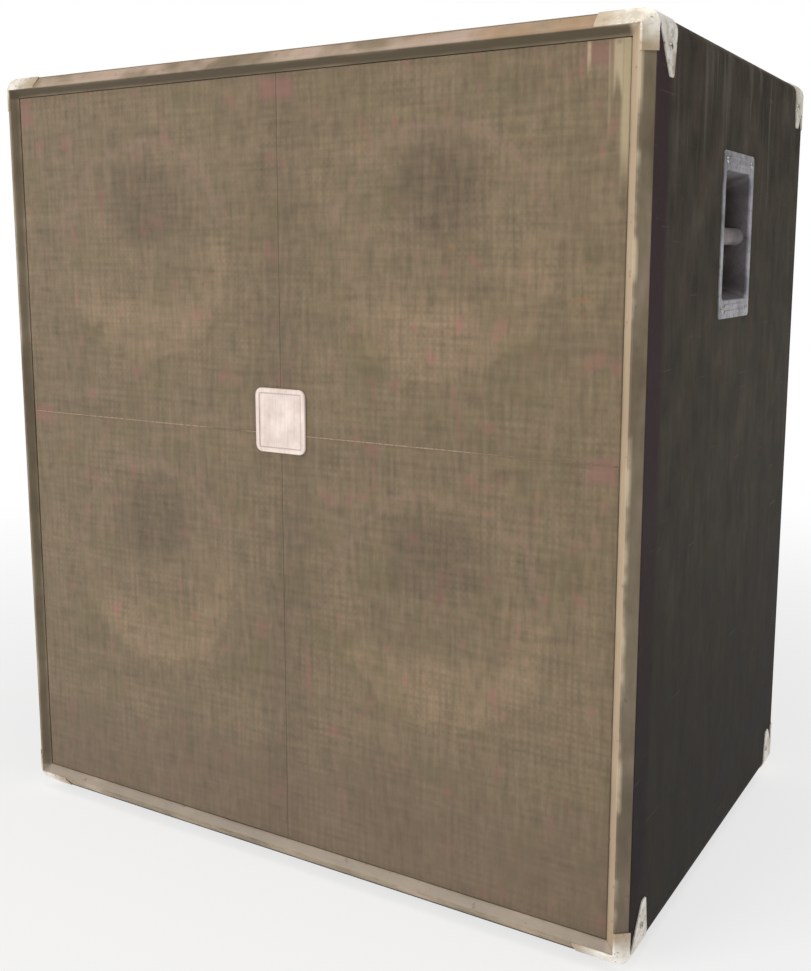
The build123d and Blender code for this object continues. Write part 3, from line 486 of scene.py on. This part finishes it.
def handle_steel():
    """Pale flange; dark inside the dish: dark paint with painted shade of the recess, darker deeper in."""
    s, colour, normal, _ = worn_steel(
        "handle_steel", srgb(182, 180, 186), srgb(156, 154, 160), srgb(122, 120, 126), srgb(84, 80, 82), 0.25
    )
    # inside the dish: dark paint with painted shade, growing darker deeper in
    depth = s.minus(SIDE, s.unsigned(s.axes[0]))
    mouth = s.smooth(depth, -1.0 * MM, 2.2 * MM, 0.0, 0.76)
    inside = s.plus(mouth, s.smooth(depth, 4 * MM, 30 * MM, 0.0, 0.24))
    recess_shade_and_paint = s.ramp(
        s.noise(40.0, 4, 0.6),
        (0.35, srgb(56, 47, 48)),
        (0.6, srgb(82, 72, 71)),
        (0.75, srgb(112, 104, 96)),
    )
    return s.finish(s.mix(inside, colour, recess_shade_and_paint), normal, s.smooth(depth, -1.0 * MM, 2.2 * MM, 0.4, 0.7))


BADGE_BORDER_IN = 6.6 * MM


def badge_metal():
    """Brushed plate with a darker border groove."""
    s = Surface("badge_metal", roughness=0.42, metallic=0.1)
    x, _, z = s.axes
    brush = s.threads(3, 0.6, 900, 900, 14)
    cloud = s.noise(30.0, 3, 0.6)
    blend = s.scaled(brush, 0.4, s.times(cloud, 0.6))
    colour = s.ramp(blend, (0.36, srgb(212, 192, 182)), (0.6, srgb(244, 229, 220)))
    centre = (badge_low.z + badge_high.z) / 2
    half = (badge_high.z - badge_low.z) / 2
    edge_x = s.beyond(x, 0.0, badge_high.x - BADGE_BORDER_IN)
    edge_z = s.beyond(z, centre, half - BADGE_BORDER_IN)
    groove = s.smooth(s.unsigned(s.larger(edge_x, edge_z)), 0.0, 1.6 * MM, 0.55, 0.0)
    colour = s.mix(groove, colour, srgb(160, 138, 128))
    return s.finish(colour, s.bump(brush, 0.2 * MM, 0.5), s.scaled(cloud, 0.3, 0.25))


# ---------------------------------------------------------------- plain materials
RIB_PITCH = 16 * MM


def moulded(name, dark, light, roughness, scale=120.0, depth=0.3 * MM):
    """Rubber, plastic or paint with a fine moulded grain and a little dust."""
    s = Surface(name, roughness=roughness)
    cloud = s.noise(scale * 0.2, 4, 0.6)
    colour = s.ramp(cloud, (0.35, dark), (0.7, light))
    grain = s.noise(scale * 6, 2)
    return s.finish(colour, s.bump(grain, depth, 0.6), s.scaled(cloud, 0.3, roughness - 0.15))


def metal(name, tone, roughness):
    """Plated or brushed metal."""
    s = Surface(name, roughness=roughness, metallic=1.0)
    brush = s.threads(3, 0.6, 300, 300, 300)
    cloud = s.noise(40.0, 4, 0.6)
    dull = tuple(v * 0.6 for v in tone[:3]) + (1.0,)
    colour = s.mix(s.times(s.smooth(cloud, 0.4, 0.7), 0.6), tone, dull)
    return s.finish(colour, s.bump(brush, 0.2 * MM, 0.4), s.scaled(brush, 0.3, roughness - 0.12))


def wood(name, pale, mid, dark):
    """Plywood, bare or painted, with its grain."""
    s = Surface(name, roughness=0.6)
    fibre = s.threads(4, 0.65, 110, 110, 7)
    figure = s.noise(1.0, 3, 0.6, s.stretched(9, 9, 1.6), 1.2)
    blend = s.plus(s.times(fibre, 0.5), s.times(figure, 0.5))
    colour = s.ramp(blend, (0.36, dark), (0.5, mid), (0.66, pale))
    return s.finish(colour, s.bump(fibre, 0.5 * MM, 0.5), s.scaled(figure, 0.3, 0.45))


def cone_paper():
    """Black pulp with pressed ribs round it."""
    s = Surface("cone_paper", roughness=0.85)
    ribs = s.scaled(s.wave(from_woofer(s)[2], RIB_PITCH), 0.5, 0.5)
    pulp = s.noise(320.0, 4, 0.7)
    colour = s.ramp(pulp, (0.35, srgb(52, 50, 47)), (0.65, srgb(82, 79, 74)))
    height = s.plus(s.times(ribs, 0.8), s.times(pulp, 0.4))
    return s.finish(colour, s.bump(height, 1.6 * MM, 0.7))


def woven(name, pale, dark, pitch):
    """Plain woven or felted cloth for the inside."""
    s = Surface(name, roughness=0.95, Sheen_Weight=0.3)
    x, _, z = s.axes
    weave = s.scaled(s.times(s.wave(x, pitch), s.wave(z, pitch)), 0.5, 0.5)
    blend = s.plus(s.times(weave, 0.35), s.times(s.noise(140.0, 4, 0.7), 0.65))
    return s.finish(s.ramp(blend, (0.3, dark), (0.7, pale)), s.bump(blend, 1.2 * MM, 0.7))


def seam_welt():
    """Sewn piping: pale and twisted, browner at the right, worn away left of the badge."""
    s = Surface("seam_welt", roughness=0.8)
    x = s.axes[0]
    twist = s.threads(2, 0.6, 260, 260, 60)
    colour = s.ramp(twist, (0.35, srgb(134, 114, 96)), (0.6, srgb(166, 144, 124)))
    uneven = s.scaled(s.noise(60.0, 3), 0.5, 0.6)
    patchy = s.times(s.smooth(x, 0.22, 0.36), uneven, clamp=True)
    gone = s.smooth(s.unsigned(s.plus(x, 0.09)), 0.02, 0.05, 0.8, 0.0)
    colour = s.mix(s.larger(patchy, gone), colour, srgb(112, 98, 78))
    return s.finish(colour, s.bump(twist, 0.4 * MM, 0.8))


MATERIALS = {
    "cloth": grille_cloth(),
    "trim": trim_enamel(),
    "vinyl": vinyl(),
    "corner_steel": corner_steel(),
    "handle_steel": handle_steel(),
    "badge": badge_metal(),
    "grip": moulded("grip_rubber", srgb(82, 75, 78), srgb(138, 126, 128), 0.6),
    "zinc": metal("zinc_plate", srgb(196, 194, 188), 0.34),
    "foot_rubber": moulded("foot_rubber", srgb(30, 30, 30), srgb(58, 57, 55), 0.85),
    "plate_steel": moulded("black_powder_coat", srgb(24, 24, 25), srgb(52, 51, 50), 0.5, 200.0, 0.4 * MM),
    "basket": moulded("basket_paint", srgb(44, 44, 47), srgb(78, 78, 82), 0.45),
    "magnet": moulded("ferrite", srgb(58, 55, 53), srgb(86, 82, 78), 0.7),
    "pole_steel": metal("turned_steel", srgb(178, 177, 172), 0.3),
    "ply_black": wood("black_plywood", srgb(66, 62, 57), srgb(44, 41, 38), srgb(30, 28, 26)),
    "ply_bare": wood("birch_plywood", srgb(214, 188, 150), srgb(196, 166, 126), srgb(166, 134, 96)),
    "cone_paper": cone_paper(),
    "cap_paper": moulded("cap_pulp", srgb(38, 37, 35), srgb(62, 60, 57), 0.8, 60.0, 0.6 * MM),
    "coil": metal("coil_former", srgb(206, 200, 188), 0.4),
    "edge_rubber": moulded("edge_rubber", srgb(30, 30, 31), srgb(52, 52, 53), 0.7),
    "spider_cloth": woven("spider_cloth", srgb(196, 160, 96), srgb(146, 112, 60), 1.6 * MM),
    "wadding": woven("wadding", srgb(206, 204, 198), srgb(160, 158, 152), 6 * MM),
    "cable": moulded("cable_jacket", srgb(32, 32, 33), srgb(56, 55, 55), 0.55),
    "jack": moulded("jack_plastic", srgb(20, 20, 21), srgb(40, 40, 41), 0.35),
    "terminal": moulded("terminal_board", srgb(112, 58, 36), srgb(146, 82, 54), 0.6),
    "catch_plastic": moulded("catch_plastic", srgb(34, 34, 34), srgb(58, 58, 57), 0.5),
    "welt": seam_welt(),
}

for entry in frame["record"]["subparts"]:
    for slot in NODES[entry["node"]].material_slots:
        slot.material = MATERIALS[entry["material_slot"]]


# ---------------------------------------------------------------- mesh helpers
def piece(name, verts, faces, slot, body=None):
    """A smooth mesh piece with the material of its slot, on a body if one is given."""
    mesh = bpy.data.meshes.new(name)
    mesh.from_pydata(verts, [], faces)
    mesh.update()
    mesh.polygons.foreach_set("use_smooth", [True] * len(mesh.polygons))
    mesh.materials.append(MATERIALS[slot])
    thing = bpy.data.objects.new(name, mesh)
    bpy.context.scene.collection.objects.link(thing)
    if body:
        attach(thing, body)
    return thing


def ease(t):
    t = max(0.0, min(1.0, t))
    return t * t * (3 - 2 * t)


# ---------------------------------------------------------------- grille cloth
SEAM_GAP = 0.1 * MM  # half of the gap between two panels
TUCK = [(0.0, 0.35), (0.25, 0.12), (1.0, 0.0)]  # millimetres from the seam, and in depth there
BEND = 1.8 * MM  # radius round the frame's front edge
HEM_START = 2 * MM  # short of the CAD cloth's back
HEM = [(0.8, 0.7), (8.6, 0.6)]  # millimetres in from the frame's edge, and short of the back
FLAT_STEPS, BEND_STEPS = 44, 4
FLAT_DEPTH = 0.05 * MM  # less deep than this counts as the flat front
CLOTH_IN = 0.35 * MM  # the panels lie this far inside the CAD cloth's front
CLOTH_SAG = 0.30  # millimetres
SAG_REACH = 50 * MM  # the sag grows over this distance from an edge or a seam
CLOTH_THICKNESS = 0.6 * MM


def edge_profile(seam, edge, way):
    """(position, depth) from the seam to the hem turned over behind the frame."""
    points = [(seam + way * along * MM, depth * MM) for along, depth in TUCK]
    start, stop = points[-1][0], edge - way * BEND
    for n in range(1, FLAT_STEPS + 1):
        points.append((start + (stop - start) * n / FLAT_STEPS, 0.0))
    for n in range(1, BEND_STEPS + 1):
        angle = math.radians(90 * n / BEND_STEPS)
        points.append((stop + way * BEND * math.sin(angle), BEND * (1 - math.cos(angle))))
    for share in (0.35, 0.7, 1.0):
        points.append((edge, BEND + (CLOTH_DEPTH - HEM_START - BEND) * share))
    for inwards, short in HEM:
        points.append((edge - way * inwards * MM, CLOTH_DEPTH - short * MM))
    return points


def ripple(x, z):
    """Uneven pull of the cloth, in millimetres."""
    broad = noise.noise(Vector((x * 11, 3.1, z * 9)))
    fine = noise.noise(Vector((x * 31, 7.7, z * 27)))
    return broad * 0.35 + fine * 0.15


def run_length(points):
    return sum(math.dist(a, b) for a, b in zip(points, points[1:]))


def sheet_panel(name, x_edge, z_edge):
    """One quarter of the cloth. Its corner is cut out behind the frame, where two hems would meet."""
    side_x = math.copysign(1, x_edge)
    side_z = 1 if z_edge > SEAM_Z else -1
    columns = edge_profile(side_x * SEAM_GAP, x_edge, side_x)
    rows = edge_profile(SEAM_Z + side_z * SEAM_GAP, z_edge, side_z)
    flat_x = sum(1 for _, depth in columns if depth < FLAT_DEPTH) + 2
    flat_z = sum(1 for _, depth in rows if depth < FLAT_DEPTH) + 2
    verts, index = [], {}
    for i, (x, depth_x) in enumerate(columns):
        for j, (z, depth_z) in enumerate(rows):
            if i > flat_x and j > flat_z:
                continue
            nearest = min(abs(x_edge - x), abs(z_edge - z), abs(x), abs(z - SEAM_Z))
            away = min(1.0, nearest / SAG_REACH)
            sag = away * (CLOTH_SAG + ripple(x, z)) * MM
            index[i, j] = len(verts)
            verts.append((x, CLOTH_Y + CLOTH_IN + max(depth_x, depth_z) + sag, z))
    faces = []
    for i in range(len(columns) - 1):
        for j in range(len(rows) - 1):
            corners = [(i, j), (i + 1, j), (i + 1, j + 1), (i, j + 1)]
            if all(c in index for c in corners):
                face = [index[c] for c in corners]
                faces.append(face if side_x * side_z > 0 else face[::-1])
    panel = piece(name, verts, faces, "cloth")
    area = sum(p.area for p in panel.data.polygons)
    skin = panel.modifiers.new("thickness", "SOLIDIFY")
    skin.thickness = CLOTH_THICKNESS
    skin.offset = -1.0
    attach(panel, "grille")
    size = (run_length(columns), run_length(rows))
    area = min(area, size[0] * size[1])
    return panel


panels = [
    sheet_panel(f"cloth_{up}_{side}", x_edge, z_edge)
    for up, z_edge in (("upper", cloth_high.z), ("lower", cloth_low.z))
    for side, x_edge in (("left", cloth_low.x), ("right", cloth_high.x))
]
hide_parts("grille_cloth")

# piping along the level seam
WELT_RADIUS, WELT_UNEVEN = 0.85, 0.12  # millimetres
WELT_LIFT = 0.15 * MM
WELT_IN = 0.55 * MM  # from the cloth's front to the piping's middle
WELT_RINGS, WELT_AROUND = 90, 10
WELT_SHORT = 3 * MM  # ends this far inside the cloth's edge
WELT_BADGE_GAP = 0.6 * MM


def welt(name, start, stop):
    """The sewn piping along the level seam."""
    verts, faces = [], []
    for n in range(WELT_RINGS + 1):
        x = start + (stop - start) * n / WELT_RINGS
        radius = (WELT_RADIUS + WELT_UNEVEN * noise.noise(Vector((x * 60, 0, 4)))) * MM
        middle_z = SEAM_Z + WELT_LIFT * noise.noise(Vector((x * 22, 9, 0)))
        for k in range(WELT_AROUND):
            angle = math.tau * k / WELT_AROUND
            y = CLOTH_Y + WELT_IN + radius * math.sin(angle)
            verts.append((x, y, middle_z + radius * math.cos(angle)))
    for n in range(WELT_RINGS):
        for k in range(WELT_AROUND):
            a = n * WELT_AROUND + k
            b = n * WELT_AROUND + (k + 1) % WELT_AROUND
            faces.append([a, b, b + WELT_AROUND, a + WELT_AROUND])
    faces.append(list(range(WELT_AROUND))[::-1])
    faces.append([WELT_RINGS * WELT_AROUND + k for k in range(WELT_AROUND)])
    thing = piece(name, verts, faces, "cloth")
    thing.data.materials[0] = MATERIALS["welt"]
    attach(thing, "grille")


beside_badge = badge_high.x + WELT_BADGE_GAP
welt("seam_welt_left", cloth_low.x + WELT_SHORT, -beside_badge)
welt("seam_welt_right", beside_badge, cloth_high.x - WELT_SHORT)


# ---------------------------------------------------------------- woofer edges and spiders
# outlines are (radius, depth) in millimetres, depth from a face this far before the cone's front
RING_FACE = 4 * MM
RING_SEGMENTS = 96
EDGE_INNER, EDGE_OUTER = 147.2, 181.8  # the surround's glued rims
ROLL_RADIUS, ROLL_HALF = 162.5, 9.4
ROLL_STEPS = 14
SPIDER_IN, SPIDER_OUT = 53, 88  # the corrugated part
SPIDER_PITCH, SPIDER_WAVE = 7, 1.3
SPIDER_DEPTH, SPIDER_THICKNESS = 85.3, 0.75
SPIDER_STEPS = 40


def ring_mesh(name, outline, centre, face_y, slot):
    """A closed ring turned about a woofer's axis."""
    verts, faces = [], []
    count = len(outline)
    for n in range(RING_SEGMENTS):
        angle = math.tau * n / RING_SEGMENTS
        for radius, depth in outline:
            x = centre.x + radius * MM * math.cos(angle)
            z = centre.z + radius * MM * math.sin(angle)
            verts.append((x, face_y + depth * MM, z))
    for n in range(RING_SEGMENTS):
        after = (n + 1) % RING_SEGMENTS
        for k in range(count):
            nxt = (k + 1) % count
            faces.append([n * count + k, n * count + nxt, after * count + nxt, after * count + k])
    return piece(name, verts, faces, slot)


def follow_radius(thing):
    """Bakes the ring's placement into its mesh."""
    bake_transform(thing)


def surround_outline():
    """A half roll between two flat rims, front skin and back skin."""
    front, back = [], []
    for n in range(ROLL_STEPS + 1):
        angle = math.pi * n / ROLL_STEPS
        radius = ROLL_RADIUS - ROLL_HALF * math.cos(angle)
        crest = math.sin(angle)
        front.append((radius, 3.05 - 0.9 * n / ROLL_STEPS - 9.8 * crest))
        back.append((radius, 3.9 - 0.95 * n / ROLL_STEPS - 9.6 * crest))
    outer_rim = [(EDGE_OUTER, 2.1), (EDGE_OUTER, 2.95)]
    return [(EDGE_INNER, 3.1)] + front + outer_rim + back[::-1] + [(EDGE_INNER, 3.95)]


def spider_outline():
    """A corrugated disc between two flat rims."""
    front = [(50.1, 85.1)]
    for n in range(SPIDER_STEPS + 1):
        along = (SPIDER_OUT - SPIDER_IN) * n / SPIDER_STEPS
        wave = SPIDER_WAVE * math.sin(math.tau * along / SPIDER_PITCH)
        front.append((SPIDER_IN + along, SPIDER_DEPTH + wave))
    front += [(90.5, 85.1), (101.8, 85.1)]
    return front + [(radius, depth + SPIDER_THICKNESS) for radius, depth in reversed(front)]


for woofer in WOOFERS:
    ring_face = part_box(f"{woofer}_cone")[0].y - RING_FACE
    edge = ring_mesh(f"{woofer}_edge", surround_outline(), CENTRES[woofer], ring_face, "edge_rubber")
    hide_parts(f"{woofer}_surround")
    follow_radius(edge)
    disc = ring_mesh(f"{woofer}_centring_disc", spider_outline(), CENTRES[woofer], ring_face, "spider_cloth")
    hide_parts(f"{woofer}_spider")
    follow_radius(disc)


# ---------------------------------------------------------------- damping pads
PAD_ACROSS, PAD_UP = 40, 24  # faces along a pad
PAD_IN = 2 * MM  # the wadding stays this far inside its CAD box at the rims
PAD_OFF_BACK = 0.4 * MM
PAD_RIM, PAD_LOFT, PAD_LUMPS = 6 * MM, 19 * MM, 3 * MM
PAD_RIM_REACH = 35 * MM  # the loft grows over this distance from a rim
PAD_INNER_X = 30 * MM  # half of the gap between the left and right pads
PAD_GAP = (SEAM_Z - 9.5 * MM, SEAM_Z + 40.5 * MM)  # between the lower and upper pads


def wad(name, low, high):
    """A batt of wadding: full in the middle, thin at its rims, uneven all over."""
    verts, index = [], {}
    for layer in (0, 1):
        for i in range(PAD_ACROSS + 1):
            for j in range(PAD_UP + 1):
                u, v = i / PAD_ACROSS, j / PAD_UP
                rim = min(min(u, 1 - u) * (high.x - low.x), min(v, 1 - v) * (high.z - low.z))
                full = ease(rim / PAD_RIM_REACH) ** 0.6
                x = low.x + PAD_IN + (high.x - low.x - 2 * PAD_IN) * u
                z = low.z + PAD_IN + (high.z - low.z - 2 * PAD_IN) * v
                lump = noise.noise(Vector((x * 14, 2.0, z * 14))) * PAD_LUMPS
                thick = PAD_OFF_BACK if layer else PAD_RIM + full * (PAD_LOFT + lump)
                index[layer, i, j] = len(verts)
                verts.append((x, high.y - thick, z))
    faces = []
    for i in range(PAD_ACROSS):
        for j in range(PAD_UP):
            ring = [(i, j), (i + 1, j), (i + 1, j + 1), (i, j + 1)]
            faces.append([index[(0, *c)] for c in ring])
            faces.append([index[(1, *c)] for c in ring][::-1])
    loop = [(i, 0) for i in range(PAD_ACROSS)] + [(PAD_ACROSS, j) for j in range(PAD_UP)]
    loop += [(i, PAD_UP) for i in range(PAD_ACROSS, 0, -1)] + [(0, j) for j in range(PAD_UP, 0, -1)]
    for a, b in zip(loop, loop[1:] + loop[:1]):
        faces.append([index[(0, *b)], index[(0, *a)], index[(1, *a)], index[(1, *b)]])
    pad = piece(name, verts, faces, "wadding", "cabinet")
    return pad


for side, (near, far) in (("left", (pads_low.x, -PAD_INNER_X)), ("right", (PAD_INNER_X, pads_high.x))):
    for up, (low, high) in (("lower", (pads_low.z, PAD_GAP[0])), ("upper", (PAD_GAP[1], pads_high.z))):
        corner_a = Vector((near, pads_low.y, low))
        corner_b = Vector((far, pads_high.y, high))
        wad(f"wadding_{up}_{side}", corner_a, corner_b)
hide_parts("damping_pads")


# ---------------------------------------------------------------- stage, light and camera
BACKDROP = (1.0, 1.0, 1.0, 1)
FLOOR_HALF = 40
FLOOR_COLOUR = (0.80, 0.80, 0.79, 1)
FLOOR_FADE = (0.7, 2.6)  # metres from the middle, over which the floor turns into the backdrop
FLOOR_GLOW = 0.70  # the backdrop's share within the fade
FILL_COLOUR = (1.0, 0.99, 0.97, 1)
FILL_STRENGTH = 0.28
# the camera, solved from the photograph's straight edges
FOCAL_PX, LONG_SIDE_PX = 1156.3, 971
SENSOR = 36
YAW, PITCH = -0.54275, -0.15419
SHIFT_UP = -0.0503
CAMERA_PLACE = (0.90330, FRONT - 1.17803, BASE + 0.81476)


def make_floor():
    mesh = bpy.data.meshes.new("floor")
    half = FLOOR_HALF
    corners = [(-half, -half, 0), (half, -half, 0), (half, half, 0), (-half, half, 0)]
    mesh.from_pydata(corners, [], [(0, 1, 2, 3)])
    floor = bpy.data.objects.new("floor", mesh)
    bpy.context.scene.collection.objects.link(floor)
    s = Surface("pale_floor", roughness=0.8)
    s.shader.inputs["Base Color"].default_value = FLOOR_COLOUR
    glow = s.new("ShaderNodeEmission")
    glow.inputs["Color"].default_value = BACKDROP
    x, y, _ = s.axes
    fade = s.smooth(s.length(x, y), *FLOOR_FADE, FLOOR_GLOW, 1.0)
    both = s.new("ShaderNodeMixShader", Fac=fade)
    s.put(both.inputs[1], s.shader.outputs[0])
    s.put(both.inputs[2], glow.outputs[0])
    s.put(s.tree.nodes["Material Output"].inputs["Surface"], both.outputs[0])
    mesh.materials.append(s.material)


def make_world():
    """The camera sees the backdrop; everything else is lit by a weaker fill."""
    world = bpy.data.worlds.new("studio")
    bpy.context.scene.world = world
    world.use_nodes = True
    tree = world.node_tree
    seen = tree.nodes["Background"]
    seen.inputs["Color"].default_value = BACKDROP
    seen.inputs["Strength"].default_value = 1.0
    fill = tree.nodes.new("ShaderNodeBackground")
    fill.inputs["Color"].default_value = FILL_COLOUR
    fill.inputs["Strength"].default_value = FILL_STRENGTH
    path = tree.nodes.new("ShaderNodeLightPath")
    mix = tree.nodes.new("ShaderNodeMixShader")
    tree.links.new(path.outputs["Is Camera Ray"], mix.inputs[0])
    tree.links.new(fill.outputs[0], mix.inputs[1])
    tree.links.new(seen.outputs[0], mix.inputs[2])
    tree.links.new(mix.outputs[0], tree.nodes["World Output"].inputs["Surface"])


def area_light(name, place, target, size, power, tint=(1, 1, 1)):
    lamp = bpy.data.lights.new(name, "AREA")
    lamp.shape = "RECTANGLE"
    lamp.size, lamp.size_y = size
    lamp.energy = power
    lamp.color = tint
    thing = bpy.data.objects.new(name, lamp)
    bpy.context.scene.collection.objects.link(thing)
    thing.location = place
    thing.rotation_euler = (Vector(target) - Vector(place)).to_track_quat("-Z", "Y").to_euler()


def make_camera():
    lens = bpy.data.cameras.new("camera")
    lens.sensor_width = SENSOR
    lens.lens = SENSOR * FOCAL_PX / LONG_SIDE_PX
    lens.shift_y = SHIFT_UP
    camera = bpy.data.objects.new("camera", lens)
    bpy.context.scene.collection.objects.link(camera)
    camera.location = CAMERA_PLACE
    level = math.cos(PITCH)
    ahead = Vector((math.sin(YAW) * level, math.cos(YAW) * level, math.sin(PITCH)))
    camera.rotation_euler = ahead.to_track_quat("-Z", "Y").to_euler()
    bpy.context.scene.camera = camera


make_floor()
make_world()
area_light("key", (-3.4, -7.4, 4.6), (0, -0.2, 0.5), (5.2, 4.0), 415, (1.0, 0.985, 0.965))
area_light("top_fill", (0.6, -0.4, 3.6), (0, 0, 0.8), (2.5, 2.5), 56)
make_camera()
bpy.context.scene.view_settings.view_transform = "Standard"
